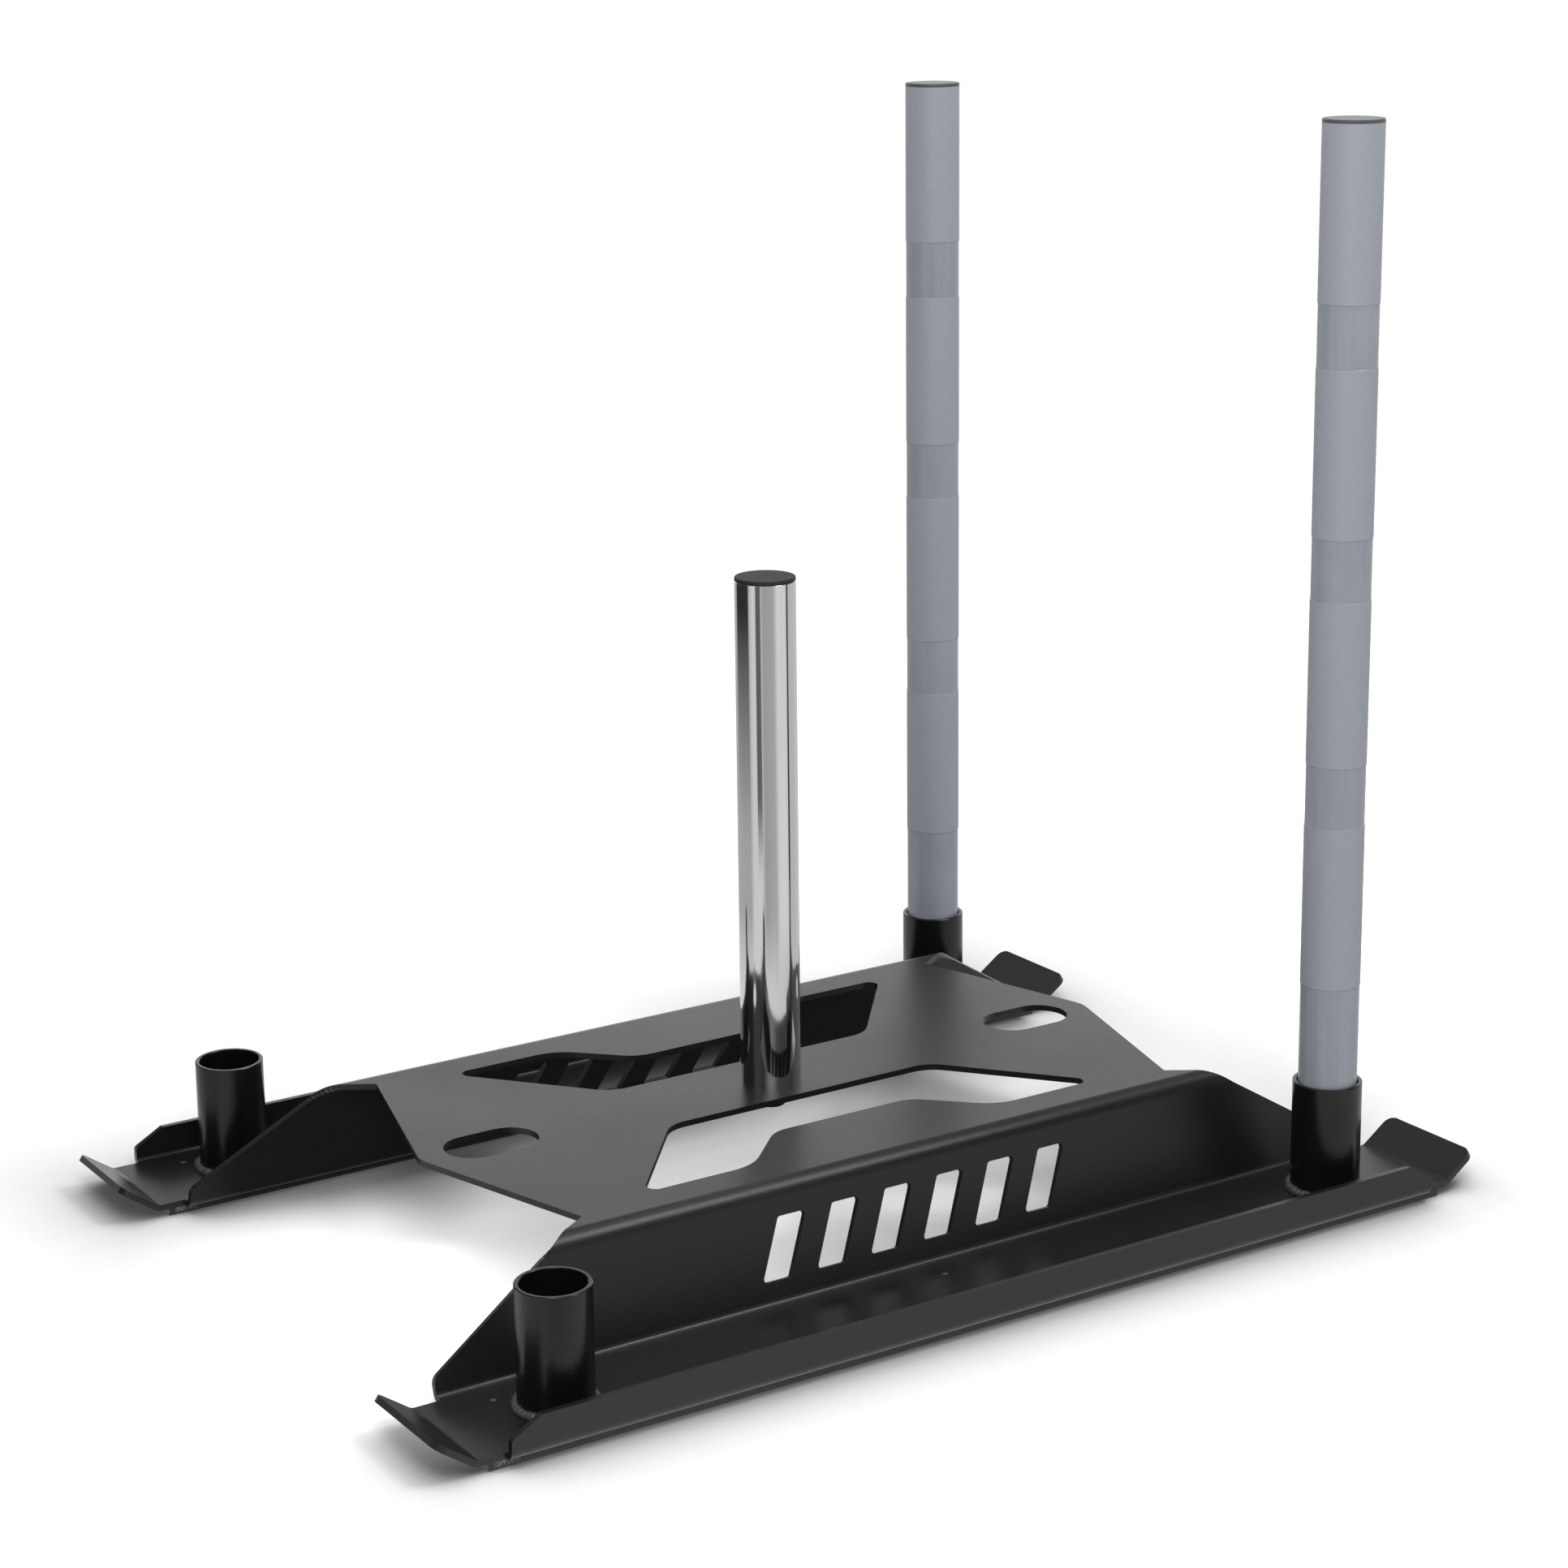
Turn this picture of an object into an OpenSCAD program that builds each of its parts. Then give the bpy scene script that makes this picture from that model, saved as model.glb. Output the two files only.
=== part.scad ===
// Drag sled: one bent sheet on two wear strips, with a weight post and two lift-out push poles.
// Millimetres. Z = 0 is the ground, under the weight post. Y runs along the sled, with the push
// poles at +Y and the empty sockets at -Y. Left is -X and right is +X, seen from the -Y end.

/* [Sheet and bends] */
// Thickness of the bent sheet
sheet_t = 5; // [3:0.5:8]
// Height of the deck's top above the ground
deck_h = 98; // [85:1:150]
// Width over the outer faces of both lips
overall_w = 676; // [610:1:740]
// Width of a runner, from its lip's outer face to the deck's upper corner line
runner_w = 138; // [132:1:150]
// How far each side wall leans outward from its top to its foot
wall_lean = 24; // [8:1:30]
// Inside radius of the bends between deck and walls
deck_bend_r = 11; // [4:0.5:14]
// Inside radius of the bends between walls and channel floors
floor_bend_r = 5; // [2:0.5:6]
// Inside radius of the bends between channel floors and lips
lip_bend_r = 3.5; // [2:0.5:6]
// Height of the lips above the channel floors
lip_h = 25.6; // [20:0.1:40]
// Length of the lips and of the walls' feet
runner_len = 864; // [840:1:900]

/* [Deck outline] */
// Sheet left along the sled between a tow slot and its nose
nose_web = 23; // [15:1:40]
// Angle between a nose's edges and a line straight across
nose_angle = 15.6; // [5:0.1:20]
// Radius of the noses' tips
nose_r = 30; // [10:1:50]
// Width of the two tow slots
tow_slot_w = 50; // [20:1:60]
// Length of the two tow slots
tow_slot_len = 80; // [62:1:88]
// Sheet left along the sled between a tow slot and the cutouts' pointed ends
tow_slot_web = 5.5; // [2:0.5:8]

/* [Deck cutouts] */
// Distance from the middle line to a cutout's straight inner side
cutout_inner_x = 46.5; // [40:0.5:55]
// Distance from the deck's upper corner line to a cutout's wide part
cutout_edge = 41; // [35:1:60]
// How much further out the wide part reaches than the narrow part
cutout_step = 52; // [40:1:58]
// Length of the inner side between its corner lines
cutout_inner_len = 254; // [230:1:270]
// Length of the narrow part between its corner lines
cutout_waist_len = 132; // [100:1:150]
// Length over the cutout's two pointed ends, between their corner lines
cutout_len = 438; // [420:1:445]
// Corner radius at the ends of the inner side
cutout_inner_r = 30; // [5:1:40]
// Corner radius at the ends of the narrow part
cutout_waist_r = 30; // [5:1:40]
// Corner radius where the wide part begins
cutout_shoulder_r = 45; // [5:1:50]
// Corner radius of the pointed ends
cutout_point_r = 8; // [2:0.5:12]

/* [Side walls] */
// Angle of the wall's end edges from the length of the sled, in the plane of the wall
wall_end_angle = 32.5; // [30:0.5:40]
// Height above the channel floor at which a wall's end turns upright
wall_step_h = 13; // [8:0.5:16]
// Corner radius where a wall's end turns upright
wall_corner_r = 9; // [2:0.5:12]
// Number of slots in each wall
wall_slots = 6; // [2:1:7]
// Width of a wall slot along the sled
wall_slot_w = 26; // [10:1:30]
// Height of a wall slot, measured down the wall
wall_slot_h = 48; // [20:1:50]
// Distance from one wall slot to the next
wall_slot_pitch = 50; // [45:1:55]
// Lean of the wall slots from upright
wall_slot_angle = 25; // [0:1:30]
// Corner radius of the wall slots
wall_slot_r = 3; // [1:0.5:4]

/* [Lips and runner tips] */
// Length of the bevel at each end of a lip
lip_bevel_len = 25; // [10:1:40]
// Drop of the bevel at each end of a lip
lip_bevel_drop = 14; // [5:0.5:15]
// Radius of the corner below the bevel
lip_corner_r = 4; // [1:0.5:5]
// Distance from a lip's end to the corner line where the runner's tip turns up
tip_reach = 23; // [16:0.5:40]
// Angle by which a runner's tip turns up
tip_angle = 35; // [15:1:50]
// Inside radius of the tip's bend
tip_bend_r = 8; // [3:0.5:14]
// Length of the turned-up part from its corner line
tip_len = 36; // [25:1:60]
// Radius of the tip's two outer corners
tip_corner_r = 9; // [2:0.5:15]

/* [Wear strips] */
// Thickness of a wear strip
strip_t = 6; // [5:0.5:12]
// Width of a wear strip and of a runner's tip
strip_w = 100; // [92:1:100]
// Length of a wear strip
strip_len = 893; // [872:1:900]
// Distance between a strip's two rows of screws
screw_row_w = 58; // [56:1:76]
// Distance from a strip's middle screws to its end screws
screw_pitch = 400; // [392:1:415]
// Diameter of a strip screw
screw_d = 5; // [3:0.5:6]
// Diameter of a strip screw's head
screw_head_d = 10; // [8:0.5:11]
// Depth of the screw heads' flat faces above the ground
screw_sink = 0.6; // [0.3:0.1:1]

/* [Sockets] */
// Distance from a lip's outer face to the sockets' axes
socket_inset = 57; // [56:0.5:60]
// Distance along between the sockets' axes
socket_spacing_y = 730; // [700:1:732]
// Bore of a socket
socket_bore = 50; // [44:1:52]
// Wall of a socket
socket_wall = 3.5; // [2:0.5:4]
// Height of a socket above the channel floor
socket_h = 94; // [60:1:140]
// Leg of the weld bead round a socket's foot
socket_weld_leg = 5; // [3:0.5:6]

/* [Weight post] */
// Outside diameter of the weight post
post_d = 50; // [38:1:52]
// Wall of the weight post
post_wall = 3; // [2:0.5:5]
// Height of the post's tube above the deck
post_h = 425; // [200:1:600]
// Diameter of the bolt that holds the post
bolt_d = 16; // [10:1:18]
// Diameter of the bolt's head
bolt_head_d = 24; // [20:1:30]
// Height of the bolt's head
bolt_head_h = 15; // [8:0.5:18]
// Diameter of the washer under the head
washer_d = 34; // [31:1:40]
// Thickness of the washer
washer_t = 3; // [1.5:0.5:4]
// Height of the threaded plug in the post's foot
plug_h = 25; // [15:1:60]

/* [Push poles] */
// Outside diameter of a pole over its grip bands
pole_d = 49; // [40:0.5:49.5]
// Wall of a pole
pole_wall = 3; // [2:0.5:5]
// Length of a pole's tube
pole_len = 876; // [850:1:1100]
// Depth of the plain bands below the grip bands
band_recess = 0.4; // [0.1:0.1:1]
// Number of grip bands
bands = 4; // [1:1:4]
// Height of the lowest grip band above the ground
band_start = 189; // [140:1:230]
// Length of a grip band
band_len = 136; // [60:1:150]
// Distance from one grip band to the next
band_pitch = 186; // [160:1:200]

/* [End caps] */
// Thickness of a cap's disc
cap_t = 3; // [1.5:0.5:6]
// Rounding of a cap's upper edge
cap_edge_r = 1; // [0.5:0.1:1.4]
// Depth of a cap's skirt inside its tube
cap_skirt_h = 14; // [8:1:30]
// Wall of a cap's skirt
cap_skirt_wall = 2; // [1:0.5:4]

/* [Fits] */
// Gap round a screw or bolt in its hole
screw_clear = 0.1; // [0.05:0.05:0.3]
// Gap between the bolt and the hole in the deck, on each side
bolt_clear = 0.5; // [0.2:0.1:1]
// Gap between a plug or skirt and its tube, on each side
insert_clear = 0.1; // [0.05:0.05:0.3]
// Small bevel on the rims of tubes and washers
rim_bevel = 0.6; // [0.3:0.1:1]

/* [Hidden] */
$fn = 96;
over = 1;
corner_margin = 0.5;
arc_over = 0.002;

floor_z = strip_t + sheet_t;
deck_under = deck_h - sheet_t;
lip_top = floor_z + lip_h;
runner_half = runner_len / 2;
beyond_end = runner_half + tip_reach + tip_len;

deck_w = overall_w - 2 * runner_w;
tow_slot_spacing = cutout_len + 2 * tow_slot_web + tow_slot_len;
nose_half = (tow_slot_spacing + tow_slot_len) / 2 + nose_web;

// Side wall: its slope, and where its faces' lines cross a height
wall_angle = atan2(deck_h - floor_z, wall_lean);
function wall_outer_x(z) = deck_w / 2 + (deck_h - z) / tan(wall_angle);
function wall_inner_x(z) = wall_outer_x(z) - sheet_t / sin(wall_angle);

// Deck bend: its axis, and where it meets the flat deck and the flat wall
deck_bend_outer_r = deck_bend_r + sheet_t;
deck_half = deck_w / 2 - deck_bend_outer_r * tan(wall_angle / 2);
deck_bend_z = deck_h - deck_bend_outer_r;
bend_end_angle = 90 - wall_angle;
wall_top = [deck_half + deck_bend_outer_r * cos(bend_end_angle),
    deck_bend_z + deck_bend_outer_r * sin(bend_end_angle)];

// Side wall in its own plane: distances down the wall from the end of the deck bend
wall_foot_z = floor_z + floor_bend_r * (1 - cos(wall_angle));
wall_down = (wall_top[1] - wall_foot_z) / sin(wall_angle);
step_down = (wall_top[1] - floor_z - wall_step_h) / sin(wall_angle);

// The sloping end edge is one straight line over wall, bend and deck of the flat sheet
rake = 1 / tan(wall_end_angle);
wall_top_half = runner_half - step_down * rake;
bend_neutral_r = deck_bend_r + sheet_t / 2;
function bend_half(angle) = wall_top_half - (angle - bend_end_angle) * PI / 180 * bend_neutral_r * rake;
deck_side_half = bend_half(90);
bend_steps = 8;

// Deck nose: its corner line, and where its edges meet the sloping end edges
nose_corner = nose_half + nose_r * (1 / cos(nose_angle) - 1);
notch_x = (nose_corner - deck_side_half + rake * deck_half) / (rake + tan(nose_angle));
notch_y = nose_corner - notch_x * tan(nose_angle);

// Deck cutouts: the wide part opens out at 45 degrees
cutout_outer_x = deck_w / 2 - cutout_edge;
cutout_waist_x = cutout_outer_x - cutout_step;
cutout_shoulder_half = cutout_waist_len / 2 + cutout_outer_x - cutout_waist_x;

// Runner tip: the corner line of its bend, on the sheet's upper face
tip_corner_y = runner_half + tip_reach;
tip_under_y = tip_corner_y + sheet_t * tan(tip_angle / 2);

// The bent sheet is drawn in sections that meet on these lines: the deck's middle and its two
// ends, the walls with their bends, the channel floors and the lips
deck_seam_x = floor(deck_half);
deck_seam_y = (cutout_len + tow_slot_web) / 2;
floor_seam_x = ceil(wall_outer_x(floor_z) + floor_bend_r * tan(wall_angle / 2));
lip_seam_x = overall_w / 2 - sheet_t - lip_bend_r;

// Strips and screws
strip_x = lip_seam_x - strip_w / 2;
screw_places = [for (x = [-1, 1], y = [-1:1]) [strip_x + x * screw_row_w / 2, y * screw_pitch]];
screw_cone_h = (screw_head_d - screw_d) / 2;
screw_key_w = screw_d * 0.6;
screw_key_h = screw_cone_h * 0.7;

// Sockets
socket_x = overall_w / 2 - socket_inset;
socket_r = socket_bore / 2 + socket_wall;
weld_belly = 2;

// Post and bolt
post_bore_r = post_d / 2 - post_wall;
bolt_len = bolt_head_h + washer_t + sheet_t + plug_h;
bolt_key_w = bolt_head_d * 0.55;
bolt_key_h = bolt_head_h * 0.5;
bolt_edge_r = 2;

// Poles
pole_bore_r = pole_d / 2 - pole_wall;

SIDES = ["left", "right"];

steel_black = "#2b2b2d";
weld_black = "#3a3a3c";
screw_grey = "#55565a";
chrome = "#c9ccd0";
zinc = "#8f9296";
cap_grey = "#3c3f42";
grip_grey = "#8d949c";

function unit(v) = v / norm(v);
function xy(p) = [p[0], p[1]];
function at(list, i) = list[(i + len(list)) % len(list)];

// Copies its children to the left side when the side is "left"
module on_side(side) {
    mirror([side == "left" ? 1 : 0, 0, 0]) children();
}

// Draws its children at both ends of the sled
module both_ends() {
    for (end = [0, 1]) {
        mirror([0, end, 0]) children();
    }
}

// Half the angle at corner b between its neighbours a and c, and the centre of the corner's arc
function half_angle(a, b, c) = acos(unit(a - b) * unit(c - b)) / 2;
function arc_centre(a, b, c, r) = b + unit(unit(a - b) + unit(c - b)) * r / sin(half_angle(a, b, c));

// The waste between a sharp corner b and its tangent arc of radius r, a little past both edges.
// The arc stands over its tangent lines by a hair, so that it crosses them cleanly.
module corner_waste(a, b, c, r) {
    u = unit(a - b);
    v = unit(c - b);
    centre = arc_centre(a, b, c, r);
    tangent = r / tan(half_angle(a, b, c));
    grow = 1 + corner_margin / r;
    difference() {
        translate(centre) scale(grow) polygon([[0, 0], b + u * tangent - centre, b - centre,
            b + v * tangent - centre]);
        translate(centre) circle(r + arc_over);
    }
}

// A polygon from corners [x, y, radius], listed anticlockwise, with each corner rounded. An inward
// corner is first bridged between the ends of its arc, then hollowed out by the arc's circle.
module rounded_outline(corners) {
    n = len(corners);
    function point(i) = xy(at(corners, i));
    function turn(i) = cross(point(i) - point(i - 1), point(i + 1) - point(i));
    function inward(i) = corners[i][2] > 0 && turn(i) < 0;
    function half(i) = half_angle(point(i - 1), point(i), point(i + 1));
    function arc_end(i, j) = point(i) + unit(point(j) - point(i)) * corners[i][2] / tan(half(i));
    difference() {
        polygon([for (i = [0:n - 1]) each inward(i) ? [arc_end(i, i - 1), arc_end(i, i + 1)] : [point(i)]]);
        for (i = [0:n - 1]) {
            if (inward(i)) {
                translate(arc_centre(point(i - 1), point(i), point(i + 1), corners[i][2]))
                    circle(corners[i][2] + arc_over);
            } else if (corners[i][2] > 0) {
                corner_waste(point(i - 1), point(i), point(i + 1), corners[i][2]);
            }
        }
    }
}

// Places its children in the plane of the right wall's outer face: X down the wall, Z outward
module on_wall() {
    translate([wall_top[0], 0, wall_top[1]]) rotate([0, wall_angle, 0]) children();
}

// Places its children in the plane of the rear right tip's upper face: Y along the tip
module on_tip() {
    translate([strip_x, tip_corner_y, floor_z]) rotate([tip_angle, 0, 0]) children();
}

// Draws an outline of [y, z] points as a slab between two x positions
module slab_across(from, to) {
    translate([from, 0, 0]) rotate([90, 0, 90]) linear_extrude(to - from) children();
}

// A hole through a sheet whose outer face is at Z = 0
module through_sheet() {
    translate([0, 0, -sheet_t - over]) linear_extrude(sheet_t + 2 * over) children();
}

// The bent sheet's section: deck, walls, channel floors and lips, with all their bends
module sheet_outline() {
    upper = [
        [overall_w / 2, lip_top, 0],
        [overall_w / 2 - sheet_t, lip_top, 0],
        [overall_w / 2 - sheet_t, floor_z, lip_bend_r],
        [wall_outer_x(floor_z), floor_z, floor_bend_r],
        [deck_w / 2, deck_h, deck_bend_outer_r]];
    under = [
        [wall_inner_x(deck_under), deck_under, deck_bend_r],
        [wall_inner_x(strip_t), strip_t, floor_bend_r + sheet_t],
        [overall_w / 2, strip_t, lip_bend_r + sheet_t]];
    function flip(list) = [for (i = [len(list) - 1:-1:0]) [-list[i][0], list[i][1], list[i][2]]];
    rounded_outline(concat(upper, flip(upper), flip(under), under));
}

// Runner's tip: a flat tongue, its bend, and the turned-up plate
module tip() {
    up = [cos(tip_angle), sin(tip_angle)];
    corner = [tip_corner_y, floor_z];
    under = [tip_under_y, strip_t];
    end = corner + tip_len * up;
    end_under = end + sheet_t * [sin(tip_angle), -cos(tip_angle)];
    slab_across(strip_x - strip_w / 2, strip_x + strip_w / 2) rounded_outline([
        [runner_half - over, floor_z, 0], [runner_half - over, strip_t, 0],
        [under[0], under[1], tip_bend_r + sheet_t], [end_under[0], end_under[1], 0],
        [end[0], end[1], 0], [corner[0], corner[1], tip_bend_r]]);
}

// Rounds the tip's two outer corners
module tip_corners() {
    half = strip_w / 2;
    on_tip() through_sheet() for (side = [-1, 1]) {
        corner_waste([0, tip_len], [side * half, tip_len], [side * half, 0], tip_corner_r);
    }
}

// Cuts the deck's end to its nose
module nose_cut() {
    translate([0, 0, deck_h]) through_sheet() rounded_outline([
        [-notch_x, notch_y, 0], [0, nose_corner, nose_r], [notch_x, notch_y, 0],
        [notch_x + over, beyond_end, 0], [-notch_x - over, beyond_end, 0]]);
}

// Cuts the sloping end edge over deck, bend and wall, square to the sheet all the way round
module end_slope_cut() {
    past_step = step_down + tip_corner_r;
    wall_normal = [sin(wall_angle), cos(wall_angle)];
    wall_dir = [cos(wall_angle), -sin(wall_angle)];
    // Each ruling: [x, z] on the upper face, the face's normal, and the edge's distance along Y
    rulings = concat(
        [[[notch_x, deck_h], [0, 1], notch_y]],
        [for (i = [0:bend_steps]) let (angle = 90 - i * wall_angle / bend_steps, dir = [cos(angle), sin(angle)])
            [[deck_half, deck_bend_z] + deck_bend_outer_r * dir, dir, bend_half(angle)]],
        [[wall_top + past_step * wall_dir, wall_normal, wall_top_half + past_step * rake]]);
    last = len(rulings) - 1;
    function corner(r, depth, y) = let (p = r[0] - depth * r[1]) [p[0], y, p[1]];
    points = [for (r = rulings) each [
        corner(r, sheet_t + over, r[2]), corner(r, -over, r[2]),
        corner(r, -over, beyond_end), corner(r, sheet_t + over, beyond_end)]];
    sides = [for (i = [0:last - 1], j = [0:3]) let (a = 4 * i + j, b = 4 * i + (j + 1) % 4)
        each [[a, b, b + 4], [a, b + 4, a + 4]]];
    polyhedron(points, concat([[3, 2, 1, 0]], sides, [[for (j = [0:3]) 4 * last + j]]));
}

// Rounds the corner where a wall's end turns upright
module wall_corner_cut() {
    on_wall() through_sheet()
        corner_waste([0, wall_top_half], [step_down, runner_half], [wall_down, runner_half], wall_corner_r);
}

// Bevels a lip's upper corner and rounds the corner below the bevel
module lip_end_cut() {
    start = [runner_half - lip_bevel_len, lip_top];
    end = [runner_half, lip_top - lip_bevel_drop];
    step = unit(end - start) * over;
    slab_across(overall_w / 2 - sheet_t - over, overall_w / 2 + over) {
        polygon([start - step, end + step, [end[0] + 2 * over, start[1] + over]]);
        corner_waste(start, end, [runner_half, floor_z], lip_corner_r);
    }
}

module wall_slot_row() {
    on_wall() through_sheet() for (i = [0:wall_slots - 1]) {
        translate([wall_down / 2, (i - (wall_slots - 1) / 2) * wall_slot_pitch]) wall_slot();
    }
}

module wall_slot() {
    high = wall_slot_h / 2;
    across = wall_slot_w / 2;
    shift = wall_slot_h * tan(wall_slot_angle) / 2;
    rounded_outline([
        [-high, shift - across, wall_slot_r], [high, -shift - across, wall_slot_r],
        [high, across - shift, wall_slot_r], [-high, across + shift, wall_slot_r]]);
}

module tow_slot() {
    straight = tow_slot_len - tow_slot_w;
    square([tow_slot_w, straight], center = true);
    both_ends() translate([0, straight / 2]) circle(tow_slot_w / 2);
}

module cutout() {
    half = [
        [cutout_waist_x, cutout_waist_len / 2, cutout_waist_r],
        [cutout_outer_x, cutout_shoulder_half, cutout_shoulder_r],
        [cutout_outer_x, cutout_len / 2, cutout_point_r],
        [cutout_inner_x, cutout_inner_len / 2, cutout_inner_r]];
    mirrored = [for (i = [3:-1:0]) [half[i][0], -half[i][1], half[i][2]]];
    rounded_outline(concat(half, mirrored));
}

// The bent sheet between two corners [x, y]
module sheet_between(from, to) {
    translate([0, to[1], 0]) rotate([90, 0, 0]) linear_extrude(to[1] - from[1]) intersection() {
        sheet_outline();
        translate([from[0], -over]) square([to[0] - from[0], deck_h + 2 * over]);
    }
}

// Middle of the deck, with its two shaped cutouts and the hole for the post's bolt
module sheet_deck() {
    color(steel_black) difference() {
        sheet_between([-deck_seam_x, -deck_seam_y], [deck_seam_x, deck_seam_y]);
        translate([0, 0, deck_h]) through_sheet() {
            for (side = SIDES) on_side(side) cutout();
            circle(bolt_d / 2 + bolt_clear);
        }
    }
}

// An end of the deck, with its nose and tow slot
module sheet_deck_end(end) {
    color(steel_black) mirror([0, end == "front" ? 1 : 0, 0]) difference() {
        sheet_between([-deck_seam_x, deck_seam_y], [deck_seam_x, runner_half]);
        nose_cut();
        for (side = SIDES) on_side(side) end_slope_cut();
        translate([0, tow_slot_spacing / 2, deck_h]) through_sheet() tow_slot();
    }
}

// Side wall with the bends at its top and foot
module sheet_wall(side) {
    color(steel_black) on_side(side) difference() {
        sheet_between([deck_seam_x, -runner_half], [floor_seam_x, runner_half]);
        wall_slot_row();
        both_ends() {
            end_slope_cut();
            wall_corner_cut();
        }
    }
}

// Channel floor with its two turned-up tips and the holes for the strip's screws
module sheet_floor(side) {
    color(steel_black) on_side(side) difference() {
        union() {
            sheet_between([floor_seam_x, -runner_half], [lip_seam_x, runner_half]);
            both_ends() tip();
        }
        both_ends() tip_corners();
        for (place = screw_places) {
            translate([place[0], place[1], floor_z]) through_sheet() circle(screw_d / 2 + screw_clear);
        }
    }
}

// Lip with the bend at its foot
module sheet_lip(side) {
    color(steel_black) on_side(side) difference() {
        sheet_between([lip_seam_x, -runner_half], [overall_w / 2 + over, runner_half]);
        both_ends() lip_end_cut();
    }
}

// Outline of a countersunk screw up to a height, grown by a gap: it is drawn from the ground up
module screw_body(gap, top) {
    head_r = screw_head_d / 2 + gap;
    shank_r = screw_d / 2 + gap;
    cone_top = screw_sink + screw_cone_h;
    rotate_extrude() polygon([[0, screw_sink], [head_r, screw_sink], [shank_r, cone_top], [shank_r, top], [0, top]]);
}

module strip(side) {
    color(steel_black) on_side(side) difference() {
        translate([strip_x - strip_w / 2, -strip_len / 2, 0]) cube([strip_w, strip_len, strip_t]);
        for (place = screw_places) {
            translate(place) {
                screw_body(screw_clear, strip_t + over);
                translate([0, 0, -over]) cylinder(r = screw_head_d / 2 + screw_clear, h = screw_sink + over);
            }
        }
    }
}

module strip_screws(side) {
    color(screw_grey) on_side(side) for (place = screw_places) {
        translate(place) difference() {
            screw_body(0, floor_z);
            cylinder(d = screw_key_w, h = screw_sink + screw_key_h, $fn = 6);
        }
    }
}

// A tube with bevelled rims, standing on its own foot
module tube(outer_r, inner_r, height) {
    rotate_extrude() polygon([
        [inner_r, 0], [outer_r, 0],
        [outer_r, height - rim_bevel], [outer_r - rim_bevel, height],
        [inner_r + rim_bevel, height], [inner_r, height - rim_bevel]]);
}

// Places its children at a socket: end is "front" or "rear"
module at_socket(end, side) {
    translate([socket_x * (side == "left" ? -1 : 1),
        socket_spacing_y / 2 * (end == "front" ? -1 : 1), floor_z]) children();
}

module socket(end, side) {
    color(steel_black) at_socket(end, side) tube(socket_r, socket_bore / 2, socket_h);
}

// Weld bead round a socket's foot, slightly bellied
module socket_weld(end, side) {
    color(weld_black) at_socket(end, side) rotate_extrude() translate([socket_r, 0]) intersection() {
        translate([-weld_belly, -weld_belly]) circle(norm([socket_weld_leg + weld_belly, weld_belly]));
        square(socket_weld_leg);
    }
}

module post() {
    color(chrome) translate([0, 0, deck_h]) tube(post_d / 2, post_bore_r, post_h);
}

// End cap: a disc with a rounded edge, and a skirt that pushes into the tube below
module end_cap(disc_r, bore_r) {
    skirt_r = bore_r - insert_clear;
    rotate_extrude() {
        square([disc_r - cap_edge_r, cap_t]);
        square([disc_r, cap_t - cap_edge_r]);
        translate([disc_r - cap_edge_r, cap_t - cap_edge_r]) intersection() {
            circle(cap_edge_r);
            square(cap_edge_r);
        }
        translate([skirt_r - cap_skirt_wall, -cap_skirt_h]) square([cap_skirt_wall, cap_skirt_h]);
    }
}

module post_cap() {
    color(cap_grey) translate([0, 0, deck_h + post_h]) end_cap(post_d / 2, post_bore_r);
}

// Threaded plug in the post's foot, which the bolt pulls down on the deck
module post_plug() {
    color(zinc) translate([0, 0, deck_h]) difference() {
        cylinder(r = post_bore_r - insert_clear, h = plug_h);
        translate([0, 0, -over]) cylinder(r = bolt_d / 2 + screw_clear, h = plug_h + 2 * over);
    }
}

module post_washer() {
    color(zinc) translate([0, 0, deck_under - washer_t])
        tube(washer_d / 2, bolt_d / 2 + bolt_clear, washer_t);
}

// Socket-head bolt, head down, its lower edge rounded
module post_bolt() {
    head_r = bolt_head_d / 2;
    color(steel_black) translate([0, 0, deck_under - washer_t - bolt_head_h]) difference() {
        rotate_extrude() {
            square([head_r - bolt_edge_r, bolt_head_h]);
            translate([0, bolt_edge_r]) square([head_r, bolt_head_h - bolt_edge_r]);
            translate([head_r - bolt_edge_r, bolt_edge_r]) intersection() {
                circle(bolt_edge_r);
                translate([0, -bolt_edge_r]) square(bolt_edge_r);
            }
            square([bolt_d / 2, bolt_len]);
        }
        translate([0, 0, -over]) cylinder(d = bolt_key_w, h = bolt_key_h + over, $fn = 6);
    }
}

// Push pole: a tube with raised grip bands, the topmost running to its end
module pole(side) {
    grip_r = pole_d / 2;
    plain_r = grip_r - band_recess;
    starts = [for (i = [0:bands - 1]) band_start - floor_z + i * band_pitch];
    color(grip_grey) at_socket("rear", side) rotate_extrude() polygon(concat(
        [[pole_bore_r, pole_len], [pole_bore_r, 0], [plain_r - rim_bevel, 0], [plain_r, rim_bevel]],
        [for (i = [0:bands - 2], p = [
            [plain_r, starts[i]], [grip_r, starts[i] + band_recess],
            [grip_r, starts[i] + band_len - band_recess], [plain_r, starts[i] + band_len]]) p],
        [[plain_r, starts[bands - 1]], [grip_r, starts[bands - 1] + band_recess], [grip_r, pole_len]]));
}

module pole_cap(side) {
    color(cap_grey) at_socket("rear", side) translate([0, 0, pole_len]) end_cap(pole_d / 2, pole_bore_r);
}

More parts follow.
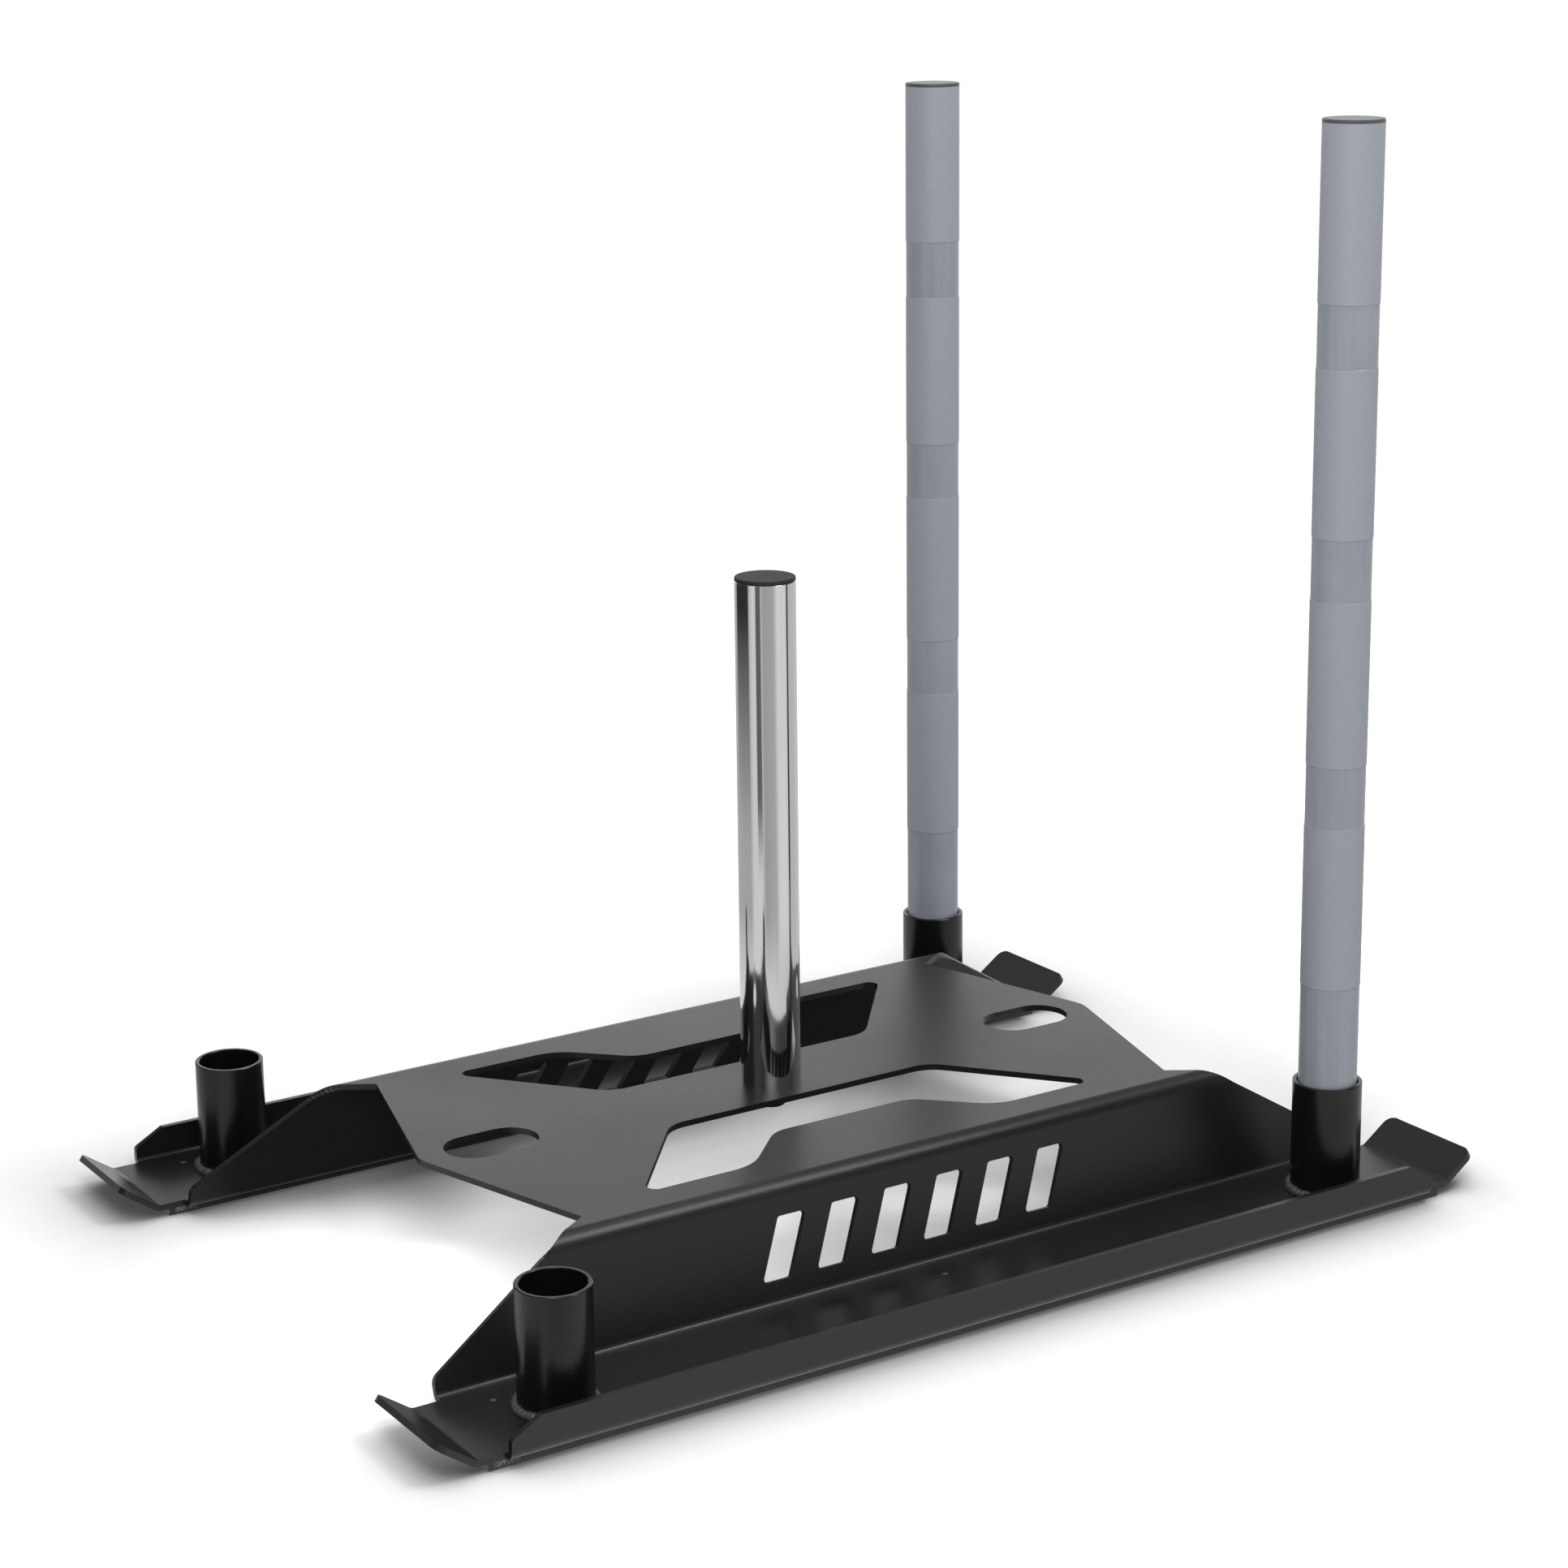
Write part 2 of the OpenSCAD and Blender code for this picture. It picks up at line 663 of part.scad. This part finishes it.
sheet_deck();
sheet_deck_end("front");  // sheet_deck_front
sheet_deck_end("rear");  // sheet_deck_rear
sheet_wall("left");  // sheet_wall_left
sheet_wall("right");  // sheet_wall_right
sheet_floor("left");  // sheet_floor_left
sheet_floor("right");  // sheet_floor_right
sheet_lip("left");  // sheet_lip_left
sheet_lip("right");  // sheet_lip_right
strip("left");  // strip_left
strip("right");  // strip_right
strip_screws("left");  // strip_screws_left
strip_screws("right");  // strip_screws_right
socket("front", "left");  // socket_front_left
socket("front", "right");  // socket_front_right
socket("rear", "left");  // socket_rear_left
socket("rear", "right");  // socket_rear_right
socket_weld("front", "left");  // weld_front_left
socket_weld("front", "right");  // weld_front_right
socket_weld("rear", "left");  // weld_rear_left
socket_weld("rear", "right");  // weld_rear_right
post();
post_cap();
post_plug();
post_washer();
post_bolt();
pole("left");  // pole_left
pole("right");  // pole_right
pole_cap("left");  // pole_cap_left
pole_cap("right");  // pole_cap_right
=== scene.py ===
"""Looks of the drag sled: materials, weld beads, studio and camera, in metres in the model's own frame."""

import math
import random

import bmesh
import bpy
from mathutils import Matrix, Vector

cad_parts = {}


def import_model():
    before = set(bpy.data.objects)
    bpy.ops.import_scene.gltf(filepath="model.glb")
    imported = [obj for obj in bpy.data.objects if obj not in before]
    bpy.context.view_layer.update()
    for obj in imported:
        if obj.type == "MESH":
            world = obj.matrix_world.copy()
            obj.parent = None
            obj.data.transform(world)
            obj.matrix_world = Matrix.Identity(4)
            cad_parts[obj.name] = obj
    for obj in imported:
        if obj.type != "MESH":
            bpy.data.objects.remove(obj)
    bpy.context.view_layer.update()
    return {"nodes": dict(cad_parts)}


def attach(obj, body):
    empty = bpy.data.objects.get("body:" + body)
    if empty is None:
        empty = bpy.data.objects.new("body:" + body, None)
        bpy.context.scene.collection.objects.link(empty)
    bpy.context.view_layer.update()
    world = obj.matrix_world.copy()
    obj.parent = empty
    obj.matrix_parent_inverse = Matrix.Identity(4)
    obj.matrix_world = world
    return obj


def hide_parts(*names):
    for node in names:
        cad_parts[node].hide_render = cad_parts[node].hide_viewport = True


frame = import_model()
nodes = frame["nodes"]

MM = 0.001

# Places and sizes that the looks need from the construction
SOCKET_X = 281 * MM
SOCKET_Y = 365 * MM
SOCKET_R = 28.5 * MM
FLOOR_Z = 11 * MM
POLE_R = 24.5 * MM
POLE_TOP = 887 * MM

# Knurled grip bands of the poles, of which the top one runs past the pole's end
BAND_STARTS = [z * MM for z in (189, 375, 561, 747)]
BAND_LEN = 136 * MM
BAND_ENDS = [start + BAND_LEN for start in BAND_STARTS[:-1]] + [POLE_TOP + 10 * MM]
BAND_EDGE = 0.5 * MM
BAND_SOFT = 0.25 * MM
KNURLS_ROUND = 76
KNURL_SLOPE = 0.75

# The scuffed patch near the front ends of the wear strips, and the height that drag marks reach
SCUFF_Y = (-441 * MM, -423 * MM)
SCUFF_Z = (2 * MM, 6.2 * MM)
DRAG_Z = (0.4 * MM, 1.2 * MM)

# Weld beads
BEAD_SIZE = 5.2 * MM
BEAD_SINK = 0.4 * MM
BEAD_ROOT = 0.6 * MM
BEAD_RIPPLES = 44
STEPS_A_RIPPLE = 5
BEAD_RISE = 9
FIRST_SEED = 3

# Floor: its half width, the half sizes inside which it keeps the sled's shade, and where its reflections
# get painted shade under the deck
FLOOR_HALF = 60.0
SHADE_HALF_X = 0.34
SHADE_HALF_Y = 0.47
PAINTED_SHADE_X = (-0.24, 0.24)
PAINTED_SHADE_Y = (-0.44, 0.36)
# The part of the floor under the deck that a glow lifts a little, as painted light there, and how much at
# its front and rear
PAINTED_LIGHT_X = (-0.12, 0.24)
PAINTED_LIGHT_Y = (-0.50, 0.35)
PAINTED_LIGHT_ALONG = (-0.4, 0.1, 0.60, 0.24)
# How bright the floor looks in reflections, by bearing from the post in turns from -X
FLOOR_TONES = [
    (0.00, 0.55), (0.22, 0.55), (0.26, 0.90), (0.35, 0.90), (0.38, 0.50), (0.49, 0.55),
    (0.53, 0.95), (0.62, 0.95), (0.66, 0.68), (0.84, 0.75), (0.90, 0.55)]

# How bright the dome is, from straight down at 0 to straight up at 1
DOME_TONES = [
    (0.0, 0.85), (0.50, 1.25), (0.655, 1.25), (0.72, 0.22), (0.88, 0.28), (0.955, 1.5), (1.0, 1.7)]
# The side towards which the dome's light grows
BRIGHT_SIDE = (-0.93, 0.37, 0.0)

# Lamps: name, place, aim, size and watts
LAMPS = [
    ("softbox_back", (0.8, 1.1, 2.5), (0.22, 0.0, 0.1), (0.9, 0.9), 19.0),
    ("softbox_front", (1.75, -1.05, 1.95), (0.1, 0.15, 0.8), (1.2, 1.2), 40.0),
]

# Reflection cards: bearing and width in degrees, tone, distance, and the heights they fade between
CARDS = [
    (-132.0, 66.0, 0.04, 1.1, 0.00, 0.26),
    (-60.5, 19.0, 0.16, 0.75, 0.06, 0.14),
    (51.8, 7.0, 0.02, 0.26, 0.16, 0.21),
]
CARD_TOP = 0.9
CARD_PANEL = 4

# Camera, with its angles in radians and its focal length in pixels of the photograph's width
CAMERA_AT = (2.28276, -1.45221, 1.09238)
CAMERA_YAW = 0.99883
CAMERA_TILT = 0.23513
CAMERA_ROLL = -0.01099
PHOTO_WIDTH = 1932
FOCAL_PIXELS = 4217.48
SENSOR = 36.0
LENS_SHIFT = -0.07
VIEW_END = 200.0


class Graph:
    """A material's or world's node tree, built from sockets and constants."""

    def __init__(self, tree):
        tree.nodes.clear()
        self.tree = tree

    def node(self, kind, inputs=None, **settings):
        made = self.tree.nodes.new("ShaderNode" + kind)
        for name, value in settings.items():
            setattr(made, name, value)
        for name, value in (inputs or {}).items():
            if isinstance(value, bpy.types.NodeSocket):
                self.tree.links.new(value, made.inputs[name])
            else:
                made.inputs[name].default_value = value
        return made

    def math(self, operation, *values, clamp=False):
        inputs = dict(enumerate(values))
        return self.node("Math", inputs, operation=operation, use_clamp=clamp).outputs[0]

    def plus(self, first, second):
        return self.math("ADD", first, second)

    def times(self, first, second):
        return self.math("MULTIPLY", first, second)

    def past(self, value, limit):
        """How far a value lies past a limit on either side of 0."""
        return self.math("MAXIMUM", self.math("SUBTRACT", self.math("ABSOLUTE", value), limit), 0.0)

    def place(self):
        return self.node("TexCoord").outputs["Object"]

    def axes(self):
        split = self.node("SeparateXYZ", {0: self.place()})
        return split.outputs[0], split.outputs[1], split.outputs[2]

    def stretched(self, scale):
        return self.node("Mapping", {"Vector": self.place(), "Scale": scale}).outputs[0]

    def noise(self, scale, detail=2.0, roughness=0.5, at=None):
        made = self.node("TexNoise", {
            "Vector": at or self.place(), "Scale": scale, "Detail": detail, "Roughness": roughness})
        return made.outputs["Fac"]

    def spread(self, value, low, high, to_low=0.0, to_high=1.0):
        """Carry a value from one range to another, and stop at its ends."""
        made = self.node("MapRange", {
            "Value": value, "From Min": low, "From Max": high, "To Min": to_low, "To Max": to_high})
        return made.outputs[0]

    def between(self, value, low, high, soft):
        """1 between two limits and 0 outside, fading over soft on both sides of each."""
        rise = self.spread(value, low - soft, low + soft)
        fall = self.spread(value, high - soft, high + soft, 1.0, 0.0)
        return self.times(rise, fall)

    def ramp(self, value, stops):
        made = self.node("ValToRGB", {"Fac": value})
        elements = made.color_ramp.elements
        while len(elements) < len(stops):
            elements.new(0.5)
        for element, (at, tone) in zip(elements, stops):
            element.position = at
            element.color = grey(tone)
        return made.outputs["Color"]

    def mix(self, share, first, second):
        made = self.node("Mix", {"Factor": share, "A": first, "B": second}, data_type="RGBA")
        return made.outputs["Result"]

    def mix_shaders(self, share, first, second):
        return self.node("MixShader", {0: share, 1: first, 2: second}).outputs[0]

    def diffuse(self, colour):
        return self.node("BsdfDiffuse", {"Color": colour}).outputs[0]

    def glow(self, colour, strength=1.0):
        return self.node("Emission", {"Color": colour, "Strength": strength}).outputs[0]

    def bump(self, height, strength, distance, normal=None):
        inputs = {"Height": height, "Strength": strength, "Distance": distance}
        if normal is not None:
            inputs["Normal"] = normal
        return self.node("Bump", inputs).outputs[0]

    def finish(self, shader, kind="OutputMaterial"):
        self.tree.links.new(shader, self.node(kind).inputs[0])

    def surface(self, **inputs):
        shader = self.node("BsdfPrincipled", {name.replace("_", " "): v for name, v in inputs.items()})
        self.finish(shader.outputs[0])


def material(name):
    made = bpy.data.materials.new(name)
    made.use_nodes = True
    return made, Graph(made.node_tree)


def grey(value, tint=(1.0, 1.0, 1.0)):
    return (value * tint[0], value * tint[1], value * tint[2], 1.0)


def place_in_scene(name, data):
    made = bpy.data.objects.new(name, data)
    bpy.context.scene.collection.objects.link(made)
    return made


def powder_coat(name="powder_black", tone=0.0065, shine=0.35, ior=1.5):
    """Satin black powder coat: orange peel, fine grain and slightly uneven gloss."""
    made, g = material(name)
    uneven = 0.03
    cloud = g.noise(7.0, detail=3.0)
    grain = g.noise(1500.0, roughness=0.6)
    peel = g.noise(330.0, roughness=0.45)
    share = g.plus(g.times(cloud, 0.6), g.times(grain, 0.4))
    colour = g.mix(share, grey(tone * 0.7), grey(tone * 1.35, (1.0, 1.0, 1.02)))
    gloss = g.plus(g.spread(cloud, 0.3, 0.7, shine - uneven, shine + uneven),
                   g.spread(grain, 0.3, 0.7, -uneven, uneven))
    fine = g.bump(grain, strength=0.24, distance=0.14 * MM)
    normal = g.bump(peel, strength=0.13, distance=0.6 * MM, normal=fine)
    g.surface(Base_Color=colour, Roughness=gloss, Normal=normal, IOR=ior)
    return made


def weld_metal():
    """Coated weld bead: a slightly greyer black than the sheet's, uneven over its ripples."""
    made, g = material("weld_black")
    lump = g.noise(420.0, detail=3.0)
    colour = g.mix(lump, grey(0.030), grey(0.090))
    gloss = g.spread(lump, 0.3, 0.7, 0.28, 0.42)
    normal = g.bump(lump, strength=0.35, distance=0.5 * MM)
    g.surface(Base_Color=colour, Roughness=gloss, Normal=normal, IOR=1.5)
    return made


def chrome():
    """Chromed tube: bright metal with faint lengthwise polishing marks."""
    made, g = material("chrome")
    streaks = g.noise(260.0, detail=4.0, roughness=0.6, at=g.stretched((1.0, 1.0, 0.015)))
    spots = g.noise(900.0)
    colour = g.mix(streaks, grey(0.56), grey(0.70, (0.99, 1.0, 1.01)))
    gloss = g.plus(g.spread(streaks, 0.35, 0.65, 0.04, 0.10), g.spread(spots, 0.4, 0.7, 0.0, 0.03))
    normal = g.bump(streaks, strength=0.05, distance=0.2 * MM)
    g.surface(Base_Color=colour, Metallic=1.0, Roughness=gloss, Normal=normal)
    return made


def zinc():
    """Zinc plate of the plug and the washer, with a fine crystalline mottle."""
    made, g = material("zinc_plate")
    mottle = g.noise(600.0, detail=3.0)
    colour = g.mix(mottle, grey(0.34), grey(0.50, (0.98, 1.0, 1.04)))
    gloss = g.spread(mottle, 0.3, 0.7, 0.28, 0.45)
    normal = g.bump(mottle, strength=0.1, distance=0.2 * MM)
    g.surface(Base_Color=colour, Metallic=1.0, Roughness=gloss, Normal=normal)
    return made


def black_oxide():
    """Bolt steel, blackened, with turned rings on its faces."""
    made, g = material("bolt_black")
    rings = g.node("TexWave", {"Vector": g.place(), "Scale": 420.0, "Distortion": 0.4},
                   wave_type="RINGS", rings_direction="Z").outputs["Fac"]
    colour = g.mix(rings, grey(0.02), grey(0.035))
    gloss = g.spread(rings, 0.0, 1.0, 0.32, 0.42)
    normal = g.bump(rings, strength=0.1, distance=0.2 * MM)
    g.surface(Base_Color=colour, Metallic=0.6, Roughness=gloss, Normal=normal)
    return made


def screw_steel():
    """Screw ends: bright worn metal, blackened in the hollows."""
    made, g = material("screw_steel")
    worn = g.noise(1100.0, detail=3.0)
    colour = g.mix(worn, grey(0.10), grey(0.42))
    gloss = g.spread(worn, 0.3, 0.7, 0.3, 0.5)
    normal = g.bump(worn, strength=0.3, distance=0.3 * MM)
    g.surface(Base_Color=colour, Metallic=0.9, Roughness=gloss, Normal=normal)
    return made


def strip_plastic():
    """Hard black wear plastic: lengthwise drag marks below, a scuffed patch near the front ends."""
    made, g = material("strip_plastic")
    _, y, z = g.axes()
    drag = g.noise(260.0, detail=4.0, roughness=0.65, at=g.stretched((1.0, 0.03, 1.0)))
    fine = g.noise(1400.0)
    hatch = g.noise(1000.0, roughness=0.6, at=g.stretched((0.2, 1.0, 0.2)))
    patch = g.times(g.between(y, *SCUFF_Y, soft=2 * MM), g.between(z, *SCUFF_Z, soft=0.6 * MM))
    scuff = g.times(patch, g.spread(hatch, 0.45, 0.55))
    scored = g.times(g.spread(z, *DRAG_Z, 1.0, 0.0), g.spread(drag, 0.45, 0.75, 0.0, 0.5))
    worn = g.math("MAXIMUM", scuff, scored, clamp=True)
    colour = g.mix(worn, g.mix(fine, grey(0.007), grey(0.014)), grey(0.16))
    gloss = g.spread(drag, 0.3, 0.7, 0.42, 0.55)
    normal = g.bump(drag, strength=0.12, distance=0.5 * MM,
                    normal=g.bump(fine, strength=0.15, distance=0.15 * MM))
    g.surface(Base_Color=colour, Roughness=gloss, Normal=normal, IOR=1.5)
    return made


def cap_plastic(name, tone, shine):
    """Moulded cap: dark grey with a fine spark-eroded grain and uneven gloss."""
    made, g = material(name)
    tint = (0.94, 1.0, 1.09)
    uneven = 0.07
    grain = g.noise(1600.0, roughness=0.6)
    cloud = g.noise(60.0)
    colour = g.mix(cloud, grey(tone * 0.8, tint), grey(tone * 1.25, tint))
    gloss = g.spread(grain, 0.3, 0.7, shine - uneven, shine + uneven)
    normal = g.bump(grain, strength=0.2, distance=0.15 * MM)
    g.surface(Base_Color=colour, Roughness=gloss, Normal=normal, IOR=1.4)
    return made


def diamonds(g, x, y, z):
    """Diamond knurling round a pole: two sets of ridges that wind opposite ways, from 0 to 1."""
    pitch = 2 * math.pi * POLE_R / KNURLS_ROUND
    across = g.math("SUBTRACT", g.math("ABSOLUTE", x), SOCKET_X)
    along = g.math("SUBTRACT", y, SOCKET_Y)
    around = g.times(g.math("ARCTAN2", along, across), POLE_R)
    up = g.times(z, KNURL_SLOPE)
    ridge = g.plus(g.math("PINGPONG", g.plus(around, up), pitch / 2),
                   g.math("PINGPONG", g.math("SUBTRACT", around, up), pitch / 2))
    return g.math("DIVIDE", ridge, pitch)


def pole_paint():
    """Push pole: slate-grey paint, satin on the plain bands and diamond knurling on the grip bands."""
    made, g = material("pole_paint")
    x, y, z = g.axes()
    knurl = diamonds(g, x, y, z)
    bands = [g.between(z, start + BAND_EDGE, end - BAND_EDGE, BAND_SOFT)
             for start, end in zip(BAND_STARTS, BAND_ENDS)]
    band = bands[0]
    for more in bands[1:]:
        band = g.math("MAXIMUM", band, more)
    cloud = g.noise(18.0, detail=3.0)
    streak = g.noise(150.0, detail=3.0, roughness=0.6, at=g.stretched((1.0, 1.0, 0.02)))
    share = g.plus(g.times(cloud, 0.5), g.times(streak, 0.5))
    plain = g.mix(share, (0.196, 0.214, 0.245, 1.0), (0.320, 0.345, 0.389, 1.0))
    # Painted shade and highlight: the knurl's grooves are coloured darker and its ridges lighter, over its
    # bump
    grip_with_painted_shade = g.mix(g.spread(knurl, 0.2, 0.8), (0.200, 0.217, 0.249, 1.0), (0.385, 0.410, 0.458, 1.0))
    gloss = g.spread(band, 0.0, 1.0, 0.26, 0.44)
    fine = g.bump(g.noise(1300.0), strength=0.08, distance=0.1 * MM)
    normal = g.bump(g.times(knurl, band), strength=0.55, distance=0.5 * MM, normal=fine)
    g.surface(Base_Color=g.mix(band, plain, grip_with_painted_shade), Roughness=gloss, Normal=normal, IOR=1.5)
    return made


finishes = {
    "sheet": powder_coat(),
    # Painted shade: the sockets get the sheet's powder coat in a darker tone, so their fronts look darker
    "socket": powder_coat("socket_coat_painted_shade", tone=0.0045, shine=0.24, ior=1.42),
    "weld": weld_metal(),
    "strip": strip_plastic(),
    "screws": screw_steel(),
    "post": chrome(),
    "zinc": zinc(),
    "bolt": black_oxide(),
    "pole": pole_paint(),
    "post_cap": cap_plastic("cap_black", tone=0.012, shine=0.62),
    "pole_cap": cap_plastic("cap_slate", tone=0.07, shine=0.40),
}


def finish_of(name):
    if name.endswith("cap") or "_cap_" in name:
        return finishes["post_cap" if name.startswith("post") else "pole_cap"]
    if "screws" in name:
        return finishes["screws"]
    if name in ("post_plug", "post_washer"):
        return finishes["zinc"]
    if name == "post_bolt":
        return finishes["bolt"]
    return finishes[name.split("_")[0]]


for name, node in nodes.items():
    for place in node.material_slots:
        place.material = finish_of(name)


def bead(name, node, x, y, seed):
    """A lumpy fillet weld round a socket's foot: overlapping ripples of uneven size."""
    rand = random.Random(seed)
    steps = BEAD_RIPPLES * STEPS_A_RIPPLE
    sizes = [rand.uniform(0.82, 1.1) for _ in range(BEAD_RIPPLES)]
    mesh = bmesh.new()
    rows = []
    for i in range(steps):
        turn = 2 * math.pi * i / steps
        ripple, part = divmod(i, STEPS_A_RIPPLE)
        share = part / STEPS_A_RIPPLE
        size = sizes[ripple] * (1 - share) + sizes[(ripple + 1) % BEAD_RIPPLES] * share
        size *= 0.86 + 0.16 * math.sin(math.pi * share) + 0.04 * math.sin(3 * turn + seed)
        row = []
        for j in range(BEAD_RISE):
            angle = math.pi / 2 * j / (BEAD_RISE - 1)
            fat = 1 + 0.18 * math.sin(2 * angle)
            out = SOCKET_R - BEAD_SINK + BEAD_SIZE * size * fat * math.cos(angle)
            high = FLOOR_Z - BEAD_SINK + BEAD_SIZE * size * fat * math.sin(angle)
            row.append(mesh.verts.new((x + out * math.cos(turn), y + out * math.sin(turn), high)))
        root = SOCKET_R - BEAD_ROOT
        row.append(mesh.verts.new((x + root * math.cos(turn), y + root * math.sin(turn),
                                   FLOOR_Z - BEAD_ROOT)))
        rows.append(row)
    for i, row in enumerate(rows):
        after = rows[(i + 1) % steps]
        for j in range(len(row)):
            k = (j + 1) % len(row)
            mesh.faces.new((row[j], after[j], after[k], row[k]))
    bmesh.ops.recalc_face_normals(mesh, faces=mesh.faces)
    data = bpy.data.meshes.new(name)
    mesh.to_mesh(data)
    mesh.free()
    for face in data.polygons:
        face.use_smooth = True
    data.materials.append(finishes["weld"])
    made = place_in_scene(name, data)
    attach(made, "sled")
    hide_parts(node)


for number, (end, side) in enumerate((e, s) for e in ("front", "rear") for s in ("left", "right")):
    bead(f"bead_{end}_{side}", f"weld_{end}_{side}", SOCKET_X * (-1 if side == "left" else 1),
         SOCKET_Y * (-1 if end == "front" else 1), number + FIRST_SEED)


def floor_to_camera(g, x, y, speck):
    """The floor as the camera sees it: painted shade in narrow gaps, lifted to white away from the sled by
    a glow, and painted light under the deck.
    """
    # Painted shade: the floor's colour turns grey where ambient occlusion finds the sled close by
    openness = g.node("AmbientOcclusion", {"Distance": 0.10}, samples=8, only_local=False).outputs["AO"]
    paper = g.mix(speck, grey(0.89), grey(0.91))
    paper_with_painted_shade = g.mix(g.spread(openness, 0.30, 0.95), grey(0.12), paper)
    past_x = g.past(x, SHADE_HALF_X)
    past_y = g.past(y, SHADE_HALF_Y)
    clear = g.math("SQRT", g.plus(g.times(past_x, past_x), g.times(past_y, past_y)))
    # Painted light: the floor under the deck glows a little, more at its front than at its rear
    below = g.times(g.between(x, *PAINTED_LIGHT_X, soft=0.08), g.between(y, *PAINTED_LIGHT_Y, soft=0.05))
    strength = g.plus(g.spread(clear, 0.03, 0.30, 0.055, 0.55), g.times(below, g.spread(y, *PAINTED_LIGHT_ALONG)))
    lift = g.glow(grey(1.0), strength)
    return g.node("AddShader", {0: g.diffuse(paper_with_painted_shade), 1: lift}).outputs[0]


def floor_in_reflections(g, x, y):
    """The floor as glossy surfaces show it: a glow, toned by bearing, plainer near the post, and
    with painted shade under the deck."""
    distance = g.node("VectorMath", {0: g.place()}, operation="LENGTH").outputs["Value"]
    turns = g.spread(g.math("ARCTAN2", y, x), -math.pi, math.pi)
    # Painted shade: the floor shows dark in reflections where the deck covers it
    under = g.times(g.between(x, *PAINTED_SHADE_X, soft=0.02), g.between(y, *PAINTED_SHADE_Y, soft=0.06))
    near = g.mix(under, g.mix(g.spread(y, -0.4, 0.4), grey(0.95), grey(0.75)), grey(0.10))
    return g.glow(g.mix(g.spread(distance, 0.55, 0.8), near, g.ramp(turns, FLOOR_TONES)))


def floor():
    """A wide pale floor that lights the sled plainly, with its own tones for the camera and reflections."""
    made, g = material("studio_floor")
    x, y, _ = g.axes()
    speck = g.noise(30.0, detail=3.0)
    paper = g.diffuse(g.mix(speck, grey(0.79), grey(0.81)))
    ray = g.node("LightPath")
    seen = g.mix_shaders(ray.outputs["Is Camera Ray"], paper, floor_to_camera(g, x, y, speck))
    g.finish(g.mix_shaders(ray.outputs["Is Glossy Ray"], seen, floor_in_reflections(g, x, y)))
    data = bpy.data.meshes.new("studio_floor")
    half = FLOOR_HALF
    corners = [(-half, -half, 0), (half, -half, 0), (half, half, 0), (-half, half, 0)]
    data.from_pydata(corners, [], [(0, 1, 2, 3)])
    data.materials.append(made)
    plane = place_in_scene("studio_floor", data)


def world():
    """A soft dome: white to the camera. Its light is strong low down and at the top, weak between,
    and stronger on one side."""
    sky = bpy.data.worlds.new("studio_world")
    sky.use_nodes = True
    bpy.context.scene.world = sky
    g = Graph(sky.node_tree)
    toward = g.node("TexCoord").outputs["Generated"]
    height = g.node("SeparateXYZ", {0: toward}).outputs[2]
    aside = g.node("VectorMath", {0: toward, 1: BRIGHT_SIDE}, operation="DOT_PRODUCT").outputs["Value"]
    dome = g.ramp(g.spread(height, -1.0, 1.0), DOME_TONES)
    side = g.spread(aside, -0.2, 1.0, 0.40, 1.35)
    light = g.node("VectorMath", {0: dome, "Scale": side}, operation="SCALE").outputs[0]
    ray = g.node("LightPath")
    colour = g.mix(ray.outputs["Is Camera Ray"], light, grey(1.0))
    background = g.node("Background", {"Color": colour, "Strength": 1.0})
    g.finish(background.outputs[0], "OutputWorld")


def softbox(name, at, aim, size, watts):
    data = bpy.data.lights.new(name, "AREA")
    data.shape = "RECTANGLE"
    data.size, data.size_y = size
    data.energy = watts
    lamp = place_in_scene(name, data)
    lamp.location = at
    lamp.visible_camera = False
    lamp.rotation_euler = (Vector(aim) - Vector(at)).to_track_quat("-Z", "Y").to_euler()


def card(name, bearing, width, tone, near, low, high):
    """A card on a circle round the post that only reflections see, so that bright metal has
    something to show. It fades in between the heights low and high."""
    made, g = material(name)
    fade = g.spread(g.axes()[2], low, high)
    g.finish(g.mix_shaders(fade, g.node("BsdfTransparent").outputs[0], g.glow(grey(tone))))
    steps = max(2, round(width / CARD_PANEL))
    turns = [math.radians(bearing + width * (i / steps - 0.5)) for i in range(steps + 1)]
    points = [(math.cos(turn) * near, math.sin(turn) * near, z) for turn in turns for z in (low, CARD_TOP)]
    faces = [(2 * i, 2 * i + 2, 2 * i + 3, 2 * i + 1) for i in range(steps)]
    data = bpy.data.meshes.new(name)
    data.from_pydata(points, [], faces)
    data.materials.append(made)
    made = place_in_scene(name, data)
    for kind in ("camera", "diffuse", "shadow", "transmission", "volume_scatter"):
        setattr(made, "visible_" + kind, False)


def camera():
    data = bpy.data.cameras.new("camera")
    data.sensor_fit = "HORIZONTAL"
    data.sensor_width = SENSOR
    data.lens = FOCAL_PIXELS / PHOTO_WIDTH * SENSOR
    data.shift_y = LENS_SHIFT
    data.clip_end = VIEW_END
    made = place_in_scene("camera", data)
    yaw, tilt, roll = CAMERA_YAW, CAMERA_TILT, CAMERA_ROLL
    ahead = Vector((-math.sin(yaw) * math.cos(tilt), math.cos(yaw) * math.cos(tilt), -math.sin(tilt)))
    level = Vector((math.cos(yaw), math.sin(yaw), 0))
    over = level.cross(ahead)
    right = math.cos(roll) * level + math.sin(roll) * over
    up = -math.sin(roll) * level + math.cos(roll) * over
    turn = Matrix((right, up, -ahead)).transposed().to_4x4()
    made.matrix_world = Matrix.Translation(CAMERA_AT) @ turn
    bpy.context.scene.camera = made


floor()
world()
for lamp in LAMPS:
    softbox(*lamp)
for number, sizes in enumerate(CARDS):
    card(f"card_{number}", *sizes)
camera()

bpy.context.scene.view_settings.view_transform = "Standard"
